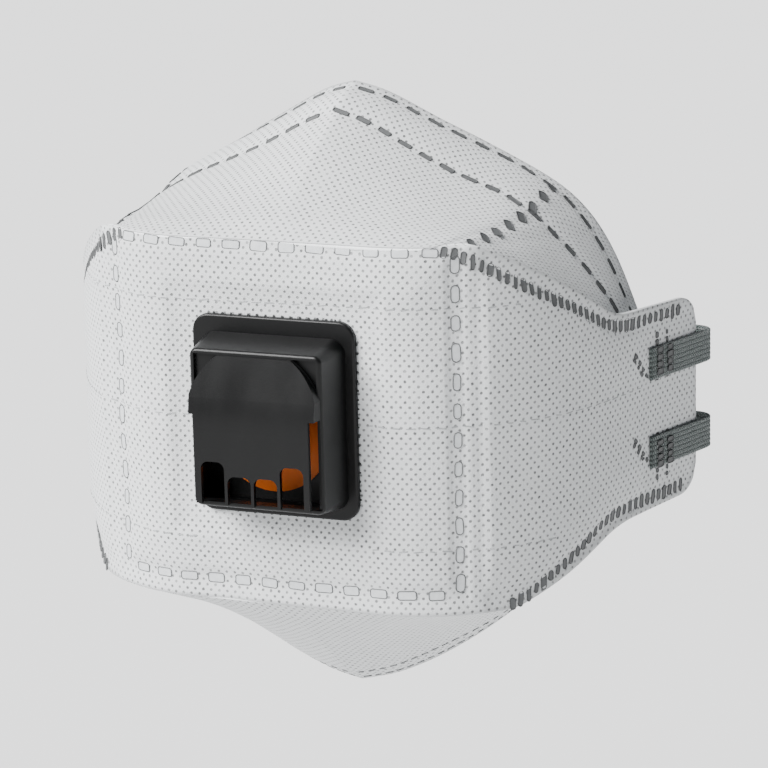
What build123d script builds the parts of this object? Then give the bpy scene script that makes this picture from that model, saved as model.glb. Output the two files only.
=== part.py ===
from build123d import *
import math
import os

# ---------------------------------------------------------------------------
# Disposable flat-fold dust mask, opened to its cup shape.
# Millimetres. -Y is the front of the mask, +Y is the wearer's face, +Z up and
# +X the wearer's left.
# Origin: centre of the face opening, at the height of the middle of the tabs.
# ---------------------------------------------------------------------------

# Plan line of the centre panel, right half, seen from above.
front_y = -57.0            # outer face of the flat front
front_flat = 21.0          # half length of the flat front
corner_radius = 32.4       # first bend, from the front round to the wing
corner_turn = 46.0         # degrees turned by the first bend
wing_radius = 63.0         # second, gentler bend of the wing
wing_turn = 26.5           # degrees turned by the second bend
tab_run = 33.0             # straight tab behind the second bend

# Side outline of the centre panel: heights of its fold lines and tabs.
fold_top = 42.7            # fold between centre and top panel
fold_bottom = -34.0        # fold between centre and bottom panel
seam_top_start_y = -50.5   # where the upper side seam leaves the fold
seam_bottom_start_y = -44.5
seam_root_y = -20.0        # where the seams meet the tab
tab_top = 22.2
tab_bottom = -22.2
tab_corner_radius = 6.0
tab_root_radius = 14.0
tab_root_rise = 0.8        # the tab is this much taller where the seams meet it
cut_clear = 5.0            # how far a cut runs past the webs
flange = 3.0               # welded flange outside the seam line

# Laminate, from the outside in. Every panel has the same four webs.
cover_thickness = 0.35
support_thickness = 0.7
filter_thickness = 0.5
lining_thickness = 0.3
web_gap = 0.03
seam_gap = 0.08            # between the webs of two panels where they meet
cover_depth = 0.0
support_depth = cover_depth + cover_thickness + web_gap
filter_depth = support_depth + support_thickness + web_gap
lining_depth = filter_depth + filter_thickness + web_gap
laminate = lining_depth + lining_thickness

# Free edges of the top and bottom panel, right half, from the middle back to the tab.
nose_edge_points = [
    (0, -10.4, 67.8),
    (5.6, -9.2, 66.2),
    (16.4, -7.6, 60.8),
    (31.6, -3.6, 52.4),
    (44, 0.2, 44.4),
    (54.2, 1.4, 29.6),
    (60.2, 2.2, 14.0),
    (64.2, 3.4, 1.2),
]
chin_edge_points = [
    (0, -15.2, -64.0),
    (7.5, -14.9, -62.2),
    (26, -12.3, -52.2),
    (42, -7.8, -39.6),
    (52.6, -3.4, -26.6),
    (60.6, 0.6, -12.0),
    (64.2, 3.4, -1.2),
]
ridge_on_fold = 42.0       # length along the fold where the panel's ridge starts
ridge_on_nose_edge = 63.0  # length along the nose edge where that ridge ends
ridge_on_chin_edge = 56.0
seam_root_run = 77.0       # length along the plan line where the feet turn down the wing
panel_meeting_gap = 0.5    # half the gap between the two panels behind the tab
tuck_run = 8.0             # the panel moves inside the centre panel before the ridge
strips_to_ridge = 7        # flat strips of a panel up to the ridge
strips_past_ridge = 7

# Nose clip and nose foam, between the two weld lines below the nose edge.
clip_width = 5.0
clip_from_edge = 2.6       # from the free nose edge to the clip
clip_half_length = 44.0
clip_thickness = 0.5
clip_strips = 8            # flat strips of the clip and foam on each side
clip_side_gap = 0.6        # from the clip to the end of the support web
pocket_clear = 0.15        # the pocket's cut runs this far past the support web
foam_thickness = 3.2
foam_width = 11.0
foam_from_edge = 1.5
foam_half_length = 52.0
foam_gap = 0.1

# Exhalation valve, square to the flat front.
valve_z = 6.3              # height of the middle of the valve's flange
flange_width = 35.5
flange_height = 41.4
flange_corner = 3.6
flange_plate = 1.3
flange_edge_radius = 0.5
port_below_centre = 2.8    # the round port sits below the flange's middle
port_radius = 10.6
port_lip_width = 1.3
port_lip_height = 0.8
spoke_width = 1.4
spoke_thickness = 1.0
hub_radius = 2.0
collar_outer_radius = 14.0
collar_wall = 1.5
fabric_hole_gap = 0.3
backing_ring_width = 2.9
backing_ring_thickness = 1.3
ring_fit = 0.05

# Cap of the valve.
cap_width = 31.4
cap_height = 35.6
cap_centre_up = -0.6       # cap's middle above the flange's middle
cap_rise = 9.4             # from the flange plate to the rim of the cap
cap_draft = 9.0            # degrees
cap_wall = 1.1
cap_corner = 3.0
cap_edge_radius = 0.8
cap_fit = 0.02             # between the cap and the flange it snaps onto
shield_radius = 14.7       # arched shield in front of the cap
shield_side_gap = 0.15     # from the shield to the edge of the cap's front
shield_rise = 3.0
shield_draft = 7.0         # degrees
shield_arch_up = 3.1       # centre of the arch above the cap's middle
shield_slope_from = 3.6    # above this height the shield's front slopes back
shield_crease_reach = 3.4  # the crease is rounded this far above and below itself
shield_slope_step = 0.1    # the front's height above the cap at the top of the slope
shield_inner_half = 11.0   # half width of the hollow behind the shield
facet_depth = 0.9          # sunk corners beside the arch
facet_rim = 0.9
slot_count = 4             # bottom outlet slots
slot_pitch = 5.75
slot_width = 5.1
slot_height = 7.4
outer_slot_extra = 2.8     # the two outer slots are taller
slot_corner = 1.6
slot_notch = 2.6           # the slots cut this far back into the cap's lower wall
slot_overrun = 3.0         # the slots run out through the cap's lower wall
side_slot_height = 18.7
side_slot_wall = 0.9       # cap wall outside the side slots
side_slot_lip = 1.8        # the shield's plate stops this far inside the cap's edge

# Membrane, a thin flap hung from its top edge.
membrane_radius = 12.4
membrane_thickness = 0.4
membrane_lift = 0.1        # clear of the port lip
tongue_width = 9.0
tongue_height = 1.6
clamp_gap = 0.15
clamp_bar_length = 15.0
clamp_bar_height = 2.2
clamp_bar_thickness = 1.8

# Head straps: flat elastic braid welded to the outside of both tabs.
strap_width = 7.0
strap_thickness = 1.1
upper_strap_z = 9.7
lower_strap_z = -9.5
strap_weld_from_tab_end = 18.0
strap_past_tab = 5.6       # how far the strap runs beyond the tab before it turns back
strap_turn_radius = 2.9
strap_inner_points = [     # inside the cup, right half, seen from above
    (56.6, 0.5),
    (49.2, -15.0),
    (37.0, -30.0),
    (19.0, -38.5),
    (0.0, -41.5),
]
tight_turn = 80.0          # degrees: sharper corners are the fold beside the tab
tight_share = 0.98         # of the fold's radius, so that the two arcs stay apart
turn_share = 0.45          # of the shorter run, for each gentle turn of a strap

os.makedirs("parts", exist_ok=True)


def save(node, name):
    node.part.label = name
    export_step(node.part, f"parts/{name}.step")


# --- Centre panel ------------------------------------------------------------

def plan_half(depth):
    """Right half of the plan line, moved inwards by depth."""
    with BuildLine(mode=Mode.PRIVATE) as line:
        flat = Line((0, front_y + depth), (front_flat, front_y + depth))
        bend = JernArc(flat @ 1, flat % 1, corner_radius - depth, corner_turn)
        wing = JernArc(bend @ 1, bend % 1, wing_radius - depth, wing_turn)
        PolarLine(wing @ 1, tab_run, direction=wing % 1)
    return line.line


plan_outer = plan_half(0)
plan_wire = Wire(plan_outer.edges())
plan_length = plan_wire.length
tab_end = plan_wire @ 1
tab_direction = plan_wire % 1


def plan_point(run, depth=0.0):
    """Point at a length along the outer plan line, moved inwards by depth."""
    share = min(run / plan_length, 1.0)
    at = plan_wire @ share
    along = plan_wire % share
    return Vector(at.X - along.Y * depth, at.Y + along.X * depth)


# --- Top and bottom panels -----------------------------------------------------

class Panel:
    """A panel of flat strips between the centre panel and a free edge.

    A strip starts at a foot on the fold or seam and ends at a head on the free edge.
    A run is the length along the plan line to a foot. Past the seam's root the feet
    go down the inside of the wing, and the run counts on down that line.
    """

    def __init__(self, edge_points, ridge_on_edge, fold_z, tab_z, seam_start_y, upward):
        with BuildLine(mode=Mode.PRIVATE) as edge:
            Spline(*edge_points)
        self.edge = edge.wires()[0]
        self.ridge_on_edge = ridge_on_edge
        self.fold_z = fold_z
        self.seam_z = tab_z + (tab_root_rise - flange) * upward
        self.seam_start_y = seam_start_y
        self.upward = upward
        self.last_run = seam_root_run + abs(self.seam_z) - panel_meeting_gap

    def tucked(self, run):
        """0 on the fold, 1 where the panel lies inside the centre panel."""
        return max(0.0, min(1.0, 2 * (run - ridge_on_fold + tuck_run) / tuck_run))

    def foot(self, run):
        """Point on the fold, the seam or the inside of the wing."""
        depth = self.tucked(run) * (laminate + seam_gap)
        at = plan_point(min(run, seam_root_run), depth)
        if run > seam_root_run:
            height = self.seam_z - (run - seam_root_run) * self.upward
        else:
            start = self.seam_start_y
            share = max(0.0, (at.Y - start) / (seam_root_y - start))
            height = self.fold_z + min(share, 1.0) * (self.seam_z - self.fold_z)
        return Vector(at.X, at.Y, height)

    def head(self, run):
        """Point on the free edge where that strip ends."""
        if run <= ridge_on_fold:
            along = run / ridge_on_fold * self.ridge_on_edge
        else:
            rest = (run - ridge_on_fold) / (self.last_run - ridge_on_fold)
            along = self.ridge_on_edge + rest * (self.edge.length - self.ridge_on_edge)
        return self.edge @ min(along / self.edge.length, 1.0)

    def strip(self, run):
        """Foot, direction towards the free edge, direction inwards, and length."""
        near, far = max(run - 1, 0), min(run + 1, self.last_run)
        foot, head = self.foot(run), self.head(run)
        if run == 0:
            along = Vector(1, 0, 0)
        else:
            along = (self.foot(far) - self.foot(near)) + (self.head(far) - self.head(near))
        up = (head - foot).normalized()
        inward = up.cross(along).normalized() * self.upward
        return foot, up, inward, (head - foot).length

    def mitre(self, run):
        """Run-back of a strip's inner face at the fold, for each unit of its depth."""
        up = self.strip(run)[1]
        return math.tan(math.acos(up.Z * self.upward) / 2) * (1 - self.tucked(run))

    def runs(self):
        """Lengths at which the strips meet, right half."""
        tuck = ridge_on_fold - tuck_run
        step = (self.last_run - ridge_on_fold) / strips_past_ridge
        first = [tuck * i / strips_to_ridge for i in range(strips_to_ridge + 1)]
        rest = [ridge_on_fold + step * (i + 1) for i in range(strips_past_ridge)]
        return first + [tuck + tuck_run / 2, ridge_on_fold] + rest

    def web(self, depth, thickness, runs, from_edge=None):
        """One web as a closed solid over the whole strips, or over a band given by
        its two distances from the free edge."""
        right = [(run, 1) for run in runs]
        left = [(run, -1) for run in reversed(runs) if run > 0]
        with BuildPart() as body:
            for run, side in left + right:
                foot, up, inward, length = self.strip(run)
                foot, up, inward = [Vector(v.X * side, v.Y, v.Z) for v in (foot, up, inward)]
                if from_edge is None:
                    low, high = (depth + thickness) * self.mitre(run) + seam_gap, length
                else:
                    low, high = length - from_edge[0], length - from_edge[1]
                far = depth + thickness
                with BuildSketch(Plane(origin=foot, x_dir=up, z_dir=up.cross(inward))):
                    with BuildLine():
                        Polyline((low, depth), (high, depth), (high, far), (low, far), close=True)
                    make_face()
            loft(ruled=True)
        return body.part


top_panel = Panel(
    nose_edge_points, ridge_on_nose_edge, fold_top, tab_top, seam_top_start_y, 1
)
bottom_panel = Panel(
    chin_edge_points, ridge_on_chin_edge, fold_bottom, tab_bottom, seam_bottom_start_y, -1
)


# --- Webs of the three panels ----------------------------------------------------

valve_plane = Plane(origin=(0, front_y, valve_z), x_dir=(1, 0, 0), z_dir=(0, -1, 0))
port_y = -port_below_centre


def centre_layer(name, depth, thickness):
    """One web of the centre panel: a band along the plan line, cut to the side outline."""
    corner = ridge_on_fold - tuck_run
    top = fold_top - (depth + thickness) * top_panel.mitre(corner) - seam_gap
    bottom = fold_bottom + (depth + thickness) * bottom_panel.mitre(corner) + seam_gap
    front = front_y - cut_clear
    with BuildPart() as layer:
        with BuildSketch(Plane.XY.offset(bottom)):
            with BuildLine():
                add(plan_half(depth))
                add(plan_half(depth + thickness))
                Line((0, front_y + depth), (0, front_y + depth + thickness))
                Line(plan_point(plan_length, depth), plan_point(plan_length, depth + thickness))
            make_face()
            mirror(about=Plane.YZ)
        extrude(amount=top - bottom)
        with BuildSketch(Plane.YZ) as side:
            with BuildLine():
                Polyline(
                    (front, top),
                    (seam_top_start_y, top),
                    (seam_root_y, tab_top + tab_root_rise),
                    (tab_end.Y, tab_top),
                    (tab_end.Y, tab_bottom),
                    (seam_root_y, tab_bottom - tab_root_rise),
                    (seam_bottom_start_y, bottom),
                    (front, bottom),
                    close=True,
                )
            make_face()
            corners = side.vertices()
            fillet([v for v in corners if abs(v.X - seam_root_y) < 0.1], tab_root_radius)
            corners = side.vertices()
            fillet([v for v in corners if abs(v.X - tab_end.Y) < 0.1], tab_corner_radius)
        extrude(amount=plan_length, both=True, mode=Mode.INTERSECT)
        with BuildSketch(valve_plane):
            with Locations((0, port_y)):
                Circle(collar_outer_radius + fabric_hole_gap)
        extrude(amount=cut_clear, both=True, mode=Mode.SUBTRACT)
    save(layer, name)


webs = [
    ("outer_cover", cover_depth, cover_thickness),
    ("support_layer", support_depth, support_thickness),
    ("filter_layer", filter_depth, filter_thickness),
    ("inner_lining", lining_depth, lining_thickness),
]
clip_band = clip_from_edge + clip_width + clip_side_gap


def clip_runs(half_length):
    """Strip ends from the middle to a half length along the nose edge."""
    last = half_length / ridge_on_nose_edge * ridge_on_fold
    return [last * i / clip_strips for i in range(clip_strips + 1)]


for web_name, web_depth, web_thickness in webs:
    centre_layer(f"centre_{web_name}", web_depth, web_thickness)

    with BuildPart() as top_web:
        add(top_panel.web(web_depth, web_thickness, top_panel.runs()))
        if web_name == "support_layer":
            clip_pocket = top_panel.web(
                web_depth - pocket_clear,
                web_thickness + 2 * pocket_clear,
                clip_runs(clip_half_length + clip_side_gap),
                (clip_band, -pocket_clear),
            )
            add(clip_pocket, mode=Mode.SUBTRACT)
    save(top_web, f"top_{web_name}")

    with BuildPart() as bottom_web:
        add(bottom_panel.web(web_depth, web_thickness, bottom_panel.runs()))
    save(bottom_web, f"bottom_{web_name}")


# --- Nose clip and foam ----------------------------------------------------------

with BuildPart() as nose_clip:
    add(top_panel.web(
        support_depth + (support_thickness - clip_thickness) / 2,
        clip_thickness,
        clip_runs(clip_half_length),
        (clip_from_edge + clip_width, clip_from_edge),
    ))
save(nose_clip, "nose_clip")

with BuildPart() as nose_foam:
    add(top_panel.web(
        laminate + foam_gap,
        foam_thickness,
        clip_runs(foam_half_length),
        (foam_from_edge + foam_width, foam_from_edge),
    ))
save(nose_foam, "nose_foam")


# --- Valve -----------------------------------------------------------------------

seat_face = flange_plate + port_lip_height
inside_depth = laminate + seam_gap
port_centre = (0, port_y)

with BuildPart() as valve_seat:
    with BuildSketch(valve_plane):
        RectangleRounded(flange_width, flange_height, flange_corner)
    extrude(amount=flange_plate)
    fillet(valve_seat.faces().sort_by(Axis.Y)[0].edges(), flange_edge_radius)
    with BuildSketch(valve_plane.offset(flange_plate)):
        with Locations(port_centre):
            Circle(port_radius + port_lip_width)
    extrude(amount=port_lip_height)
    with BuildSketch(valve_plane):
        with Locations(port_centre):
            Circle(collar_outer_radius)
    extrude(amount=-(inside_depth + backing_ring_thickness))
    with BuildSketch(valve_plane):
        with Locations(port_centre):
            Circle(collar_outer_radius - collar_wall)
    extrude(amount=-(inside_depth + backing_ring_thickness), mode=Mode.SUBTRACT)
    with BuildSketch(valve_plane):
        with Locations(port_centre):
            Circle(port_radius)
    extrude(amount=seat_face, mode=Mode.SUBTRACT)
    with BuildSketch(valve_plane):
        with Locations(port_centre):
            Circle(hub_radius)
            Rectangle(2 * port_radius + port_lip_width, spoke_width)
            Rectangle(spoke_width, 2 * port_radius + port_lip_width)
    extrude(amount=spoke_thickness)
save(valve_seat, "valve_seat")

with BuildPart() as backing_ring:
    with BuildSketch(valve_plane.offset(-inside_depth)):
        with Locations(port_centre):
            Circle(collar_outer_radius + ring_fit + backing_ring_width)
            Circle(collar_outer_radius + ring_fit, mode=Mode.SUBTRACT)
    extrude(amount=-backing_ring_thickness)
save(backing_ring, "valve_backing_ring")

membrane_plane = valve_plane.offset(seat_face + membrane_lift)
membrane_top = port_y + membrane_radius
hinge_up = membrane_top + tongue_height
with BuildPart() as membrane:
    with BuildSketch(membrane_plane):
        with Locations(port_centre):
            Circle(membrane_radius)
        with Locations((0, hinge_up - membrane_radius / 2)):
            Rectangle(tongue_width, membrane_radius)
    extrude(amount=membrane_thickness)
save(membrane, "valve_membrane")

with BuildPart() as clamp_bar:
    with BuildSketch(valve_plane.offset(flange_plate)):
        with Locations((0, hinge_up + clamp_gap + clamp_bar_height / 2)):
            RectangleRounded(clamp_bar_length, clamp_bar_height, clamp_bar_height / 3)
    extrude(amount=clamp_bar_thickness)
save(clamp_bar, "membrane_clamp_bar")

# Cap: a hollow box with drawn-in walls, an arched shield in front and outlet slots.
cap_plane = Plane(
    origin=(0, front_y - flange_plate - cap_fit, valve_z + cap_centre_up),
    x_dir=(1, 0, 0),
    z_dir=(0, -1, 0),
)
draft = math.tan(math.radians(cap_draft))
rim_width = cap_width - 2 * cap_rise * draft
rim_height = cap_height - 2 * cap_rise * draft
inner_rise = cap_rise - cap_wall
rim_face_y = front_y - flange_plate - cap_fit - cap_rise
shield_face_y = rim_face_y - shield_rise
slope_from_z = valve_z + cap_centre_up + shield_slope_from
slope_top_z = valve_z + cap_centre_up + rim_height / 2
slope_back = rim_face_y - shield_slope_step - shield_face_y
slope_turn = math.atan2(slope_back, slope_top_z - slope_from_z)
crease_start = (shield_face_y, slope_from_z - shield_crease_reach)
crease_end = (
    shield_face_y + shield_crease_reach * math.sin(slope_turn),
    slope_from_z + shield_crease_reach * math.cos(slope_turn),
)
shield_half = rim_width / 2 - shield_side_gap
slot_floor = -rim_height / 2
slot_middles = [slot_pitch * (i - (slot_count - 1) / 2) for i in range(slot_count)]
side_slot_half = rim_width / 2 - side_slot_wall

with BuildPart() as valve_cover:
    with BuildSketch(cap_plane):
        RectangleRounded(cap_width, cap_height, cap_corner)
    extrude(amount=cap_rise, taper=cap_draft)
    rim_edges = valve_cover.faces().sort_by(Axis.Y)[0].edges()
    fillet(rim_edges, cap_edge_radius)
    # The front's two top corners are sunk beside the arch, inside a raised rim.
    with BuildSketch(cap_plane.offset(cap_rise)):
        Rectangle(rim_width - 2 * facet_rim, rim_height - 2 * facet_rim)
        with Locations((0, shield_arch_up)):
            Circle(shield_radius, mode=Mode.SUBTRACT)
        with Locations((0, shield_arch_up - rim_height / 2)):
            Rectangle(2 * rim_width, rim_height, mode=Mode.SUBTRACT)
    extrude(amount=-facet_depth, mode=Mode.SUBTRACT)
    with BuildSketch(cap_plane.offset(cap_rise - facet_depth)):
        with Locations((0, shield_arch_up)):
            Circle(shield_radius)
        with Locations((0, (shield_arch_up + slot_floor) / 2)):
            Rectangle(2 * shield_radius, shield_arch_up - slot_floor)
        Rectangle(2 * shield_half, rim_height - 2 * facet_rim, mode=Mode.INTERSECT)
    extrude(amount=facet_depth + shield_rise, taper=shield_draft)
    # Above the side slots the shield slopes back, by a rounded crease, to the top of the rim.
    with BuildSketch(Plane.YZ):
        with BuildLine():
            TangentArc(crease_start, crease_end, tangent=(0, 1))
            Polyline(
                crease_end,
                (rim_face_y - shield_slope_step, slope_top_z),
                (shield_face_y - cut_clear, slope_top_z),
                (shield_face_y - cut_clear, crease_start[1]),
                crease_start,
            )
        make_face()
    extrude(amount=cap_width, both=True, mode=Mode.SUBTRACT)
    with BuildSketch(cap_plane):
        RectangleRounded(cap_width - 2 * cap_wall, cap_height - 2 * cap_wall, cap_corner - cap_wall)
    extrude(amount=inner_rise - facet_depth, taper=cap_draft, mode=Mode.SUBTRACT)
    hollow_low = slot_floor + cap_wall
    with BuildSketch(cap_plane.offset(inner_rise - facet_depth)):
        with Locations((0, (shield_slope_from + hollow_low) / 2)):
            Rectangle(2 * shield_inner_half, shield_slope_from - hollow_low)
    extrude(amount=facet_depth + shield_rise, mode=Mode.SUBTRACT)
    with BuildSketch(cap_plane.offset(cap_rise + shield_rise - slot_notch)):
        for middle in slot_middles:
            outer = abs(middle) > slot_pitch
            height = slot_height + (outer_slot_extra if outer else 0) + slot_overrun
            with Locations((middle, slot_floor - slot_overrun + height / 2)):
                RectangleRounded(slot_width, height, slot_corner)
    extrude(amount=slot_notch, mode=Mode.SUBTRACT)
    # Side slots: the shield's side walls are open below its slope, behind its plate.
    with BuildSketch(cap_plane.offset(inner_rise - facet_depth)):
        with Locations((0, hollow_low + side_slot_height / 2)):
            Rectangle(2 * side_slot_half, side_slot_height)
    extrude(amount=facet_depth + shield_rise, mode=Mode.SUBTRACT)
    with BuildSketch(cap_plane.offset(cap_rise)):
        with Locations((0, hollow_low + side_slot_height / 2)):
            with GridLocations(rim_width, 1, 2, 1):
                Rectangle(2 * side_slot_lip, side_slot_height)
    extrude(amount=shield_rise + facet_depth, mode=Mode.SUBTRACT)
save(valve_cover, "valve_cover")


# --- Head straps -------------------------------------------------------------------

def strap_corners():
    """Corner points of a strap's route, right half, from the weld to the middle."""
    along = Vector(tab_direction.X, tab_direction.Y)
    outwards = Vector(along.Y, -along.X)
    weld = tab_end - along * strap_weld_from_tab_end + outwards * (strap_thickness / 2)
    turn_out = tab_end + along * strap_past_tab + outwards * (strap_thickness / 2)
    turn_in = turn_out - outwards * (2 * strap_turn_radius)
    inner = [Vector(*point) for point in strap_inner_points]
    return [weld, turn_out, turn_in] + inner


def strap_route():
    """Whole route, right to left, and the radius of the turn at each inner corner."""
    right = strap_corners()
    points = right + [Vector(-p.X, p.Y) for p in reversed(right[:-1])]
    radii = []
    for before, here, after in zip(points, points[1:], points[2:]):
        first, second = here - before, after - here
        turn = math.radians(first.get_angle(second))
        shorter = min(first.length, second.length)
        gentle = turn_share * shorter / math.tan(turn / 2)
        tight = turn > math.radians(tight_turn)
        radii.append(strap_turn_radius * tight_share if tight else gentle)
    return points, radii


strap_points, strap_radii = strap_route()
print("strap turns, mm:", [round(r, 1) for r in strap_radii])
for strap_name, strap_z in (("upper_head_strap", upper_strap_z), ("lower_head_strap", lower_strap_z)):
    with BuildPart() as strap:
        with BuildLine() as route:
            FilletPolyline(*[Vector(p.X, p.Y, strap_z) for p in strap_points], radius=strap_radii)
        section_plane = Plane(
            origin=route.line @ 0,
            x_dir=(0, 0, 1),
            z_dir=route.line % 0,
        )
        with BuildSketch(section_plane):
            Rectangle(strap_width, strap_thickness)
        sweep()
    save(strap, strap_name)
print("strap length, mm:", round(route.wires()[0].length, 1))
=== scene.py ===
import math
import random
import bmesh
import bpy
import numpy as np
from mathutils import Matrix, Vector, noise


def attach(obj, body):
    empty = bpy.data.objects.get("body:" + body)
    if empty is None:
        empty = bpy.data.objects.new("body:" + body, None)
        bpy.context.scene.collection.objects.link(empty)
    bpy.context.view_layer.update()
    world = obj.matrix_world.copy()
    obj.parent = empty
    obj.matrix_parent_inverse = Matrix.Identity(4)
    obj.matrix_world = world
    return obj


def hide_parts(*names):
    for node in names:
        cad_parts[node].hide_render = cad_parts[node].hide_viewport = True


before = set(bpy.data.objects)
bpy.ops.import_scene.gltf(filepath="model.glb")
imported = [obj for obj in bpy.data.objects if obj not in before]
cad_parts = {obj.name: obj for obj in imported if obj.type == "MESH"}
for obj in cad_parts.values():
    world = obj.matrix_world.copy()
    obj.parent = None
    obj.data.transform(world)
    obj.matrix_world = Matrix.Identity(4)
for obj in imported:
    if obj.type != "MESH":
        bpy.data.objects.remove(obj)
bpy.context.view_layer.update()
mm = 0.001
random.seed(7)
bodyName = "mask"

# The mask's lines, in millimetres, as the frame holds them.
maskSizes = {
    "frontY": -57.0, "frontFlat": 21.0, "cornerRadius": 32.4, "cornerTurn": 46.0,
    "wingRadius": 63.0, "wingTurn": 26.5, "tabRun": 33.0,
    "foldTop": 42.7, "foldBottom": -34.0, "seamTopY": -50.5, "seamBottomY": -44.5,
    "rootY": -20.0, "tabTop": 22.2, "tabBottom": -22.2, "rootRise": 0.8, "tabCorner": 6.0,
    "flange": 3.0, "laminate": 1.94, "seamGap": 0.08,
}
noseEdge = [
    (0, -10.4, 67.8), (5.6, -9.2, 66.2), (16.4, -7.6, 60.8), (31.6, -3.6, 52.4),
    (44, 0.2, 44.4), (54.2, 1.4, 29.6), (60.2, 2.2, 14.0), (64.2, 3.4, 1.2),
]
chinEdge = [
    (0, -15.2, -64.0), (7.5, -14.9, -62.2), (26, -12.3, -52.2), (42, -7.8, -39.6),
    (52.6, -3.4, -26.6), (60.6, 0.6, -12.0), (64.2, 3.4, -1.2),
]


class Value:  # a socket that can be used in sums
    def __init__(self, finish, socket):
        self.finish, self.socket = finish, socket

    def math(self, operation, *others):
        return self.finish.node("ShaderNodeMath", {"operation": operation}, [self, *others])

    def __add__(self, other):
        return self.math("ADD", other)

    def __sub__(self, other):
        return self.math("SUBTRACT", other)

    def __mul__(self, other):
        return self.math("MULTIPLY", other)

    def __truediv__(self, other):
        return self.math("DIVIDE", other)

    def __radd__(self, other):
        return self + other

    def __rmul__(self, other):
        return self * other

    def __rsub__(self, other):
        return (self * -1.0) + other

    def step(self, low, high):  # 0 below low, 1 above high, smooth between
        settings = {"interpolation_type": "SMOOTHSTEP"}
        inputs = {"Value": self, "From Min": low, "From Max": high}
        return self.finish.node("ShaderNodeMapRange", settings, inputs)


class Finish:  # one material
    def __init__(self, name, **shader):
        self.material = bpy.data.materials.new(name)
        self.material.use_nodes = True
        self.tree = self.material.node_tree
        self.shader = self.tree.nodes["Principled BSDF"]
        for socket, value in shader.items():
            self.shader.inputs[socket.replace("_", " ")].default_value = value

    def node(self, kind, settings=None, inputs=(), output=0):
        made = self.tree.nodes.new(kind)
        for key, value in (settings or {}).items():
            setattr(made, key, value)
        pairs = inputs.items() if isinstance(inputs, dict) else enumerate(inputs)
        for key, value in pairs:
            socket = made.inputs[key]
            if isinstance(value, Value):
                self.tree.links.new(value.socket, socket)
            else:
                socket.default_value = value
        return Value(self, made.outputs[output])

    def place(self, attribute=None):
        if attribute is None:
            return self.node("ShaderNodeTexCoord", output="Object")
        settings = {"attribute_type": "GEOMETRY", "attribute_name": attribute}
        return self.node("ShaderNodeAttribute", settings, output="Vector")

    def parts(self, vector):
        made = self.tree.nodes.new("ShaderNodeSeparateXYZ")
        self.tree.links.new(vector.socket, made.inputs[0])
        return [Value(self, out) for out in made.outputs]

    def scaled(self, vector, by):
        return self.node("ShaderNodeVectorMath", {"operation": "MULTIPLY"}, [vector, by])

    def cloud(self, vector, scale, detail=2.0, rough=0.5):
        inputs = {"Vector": vector, "Scale": scale, "Detail": detail, "Roughness": rough}
        return self.node("ShaderNodeTexNoise", {}, inputs, "Fac")

    def blend(self, share, first, second):
        settings = {"data_type": "RGBA"}
        return self.node("ShaderNodeMix", settings, {0: share, 6: first, 7: second}, 2)

    def bump(self, height, distance, strength=1.0):
        inputs = {"Strength": strength, "Distance": distance, "Height": height}
        self.set(Normal=self.node("ShaderNodeBump", {}, inputs))

    def set(self, **links):
        for socket, value in links.items():
            self.tree.links.new(value.socket, self.shader.inputs[socket.replace("_", " ")])


def grey(level, tint=(1, 1, 1)):
    return (level * tint[0], level * tint[1], level * tint[2], 1)


coverCloth = {
    "level": 0.6, "tint": (0.972, 0.99, 1.0), "dotLevel": 0.11, "dotPitch": 1.8, "rowPitch": 1.06,
    "dotSize": 0.29, "fibre": 0.05,
}
liningCloth = dict(coverCloth, level=0.8, dotLevel=0.6, dotPitch=1.5, rowPitch=0.9)
coreCloth = dict(coverCloth, level=0.88, dotLevel=0.88)


# Point-bonded spunbond web: staggered bond dots in a matt fibre mat.
def clothFinish(name, look):
    cloth = Finish(name, Roughness=0.9, Sheen_Weight=0.25, Sheen_Roughness=0.5, Specular_IOR_Level=0.25)
    place = cloth.place("clothPlace")
    across, up, edge = cloth.parts(place)
    row = up * (1 / look["rowPitch"])
    rowNumber = row.math("FLOOR")
    shift = (rowNumber * 0.5).math("FRACT")
    column = across * (1 / look["dotPitch"]) + shift
    x = (column.math("FRACT") - 0.5) * look["dotPitch"]
    y = (row.math("FRACT") - 0.5) * look["rowPitch"]
    wobble = cloth.cloud(place, 1.3, 1.0)
    reach = (x * x + y * y).math("SQRT") + (wobble - 0.5) * 0.22
    dots = 1 - reach.step(look["dotSize"] - 0.12, look["dotSize"] + 0.1)
    strength = cloth.cloud(place, 0.35, 2.0).step(0.25, 0.7)
    dots = dots * (0.55 + strength * 0.45)
    fibres = cloth.cloud(cloth.scaled(place, (1.0, 2.2, 1.0)), 2.4, 4.0, 0.65)
    patches = cloth.cloud(place, 0.12, 3.0, 0.6)
    level = 1 + (fibres - 0.5) * look["fibre"] + (patches - 0.5) * 0.07
    base = cloth.blend(dots, grey(look["level"], look["tint"]), grey(look["dotLevel"], look["tint"]))
    tone = cloth.node("ShaderNodeCombineXYZ", {}, [level, level, level])
    # Cloth darkened by up to 22% within about 2 mm of a welded edge: the pressed web, with painted shade
    # along the seams.
    pressed = 1 - edge * 0.22
    base = cloth.node("ShaderNodeVectorMath", {"operation": "MULTIPLY"}, [base, tone])
    shade = cloth.node("ShaderNodeCombineXYZ", {}, [pressed, pressed, pressed])
    base = cloth.node("ShaderNodeVectorMath", {"operation": "MULTIPLY"}, [base, shade])
    cloth.set(Base_Color=base, Roughness=0.93 - dots * 0.3)
    height = (1 - dots) + fibres * 0.5 + patches * 0.3
    cloth.bump(height, 0.00022, 0.75)
    return cloth.material
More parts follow.
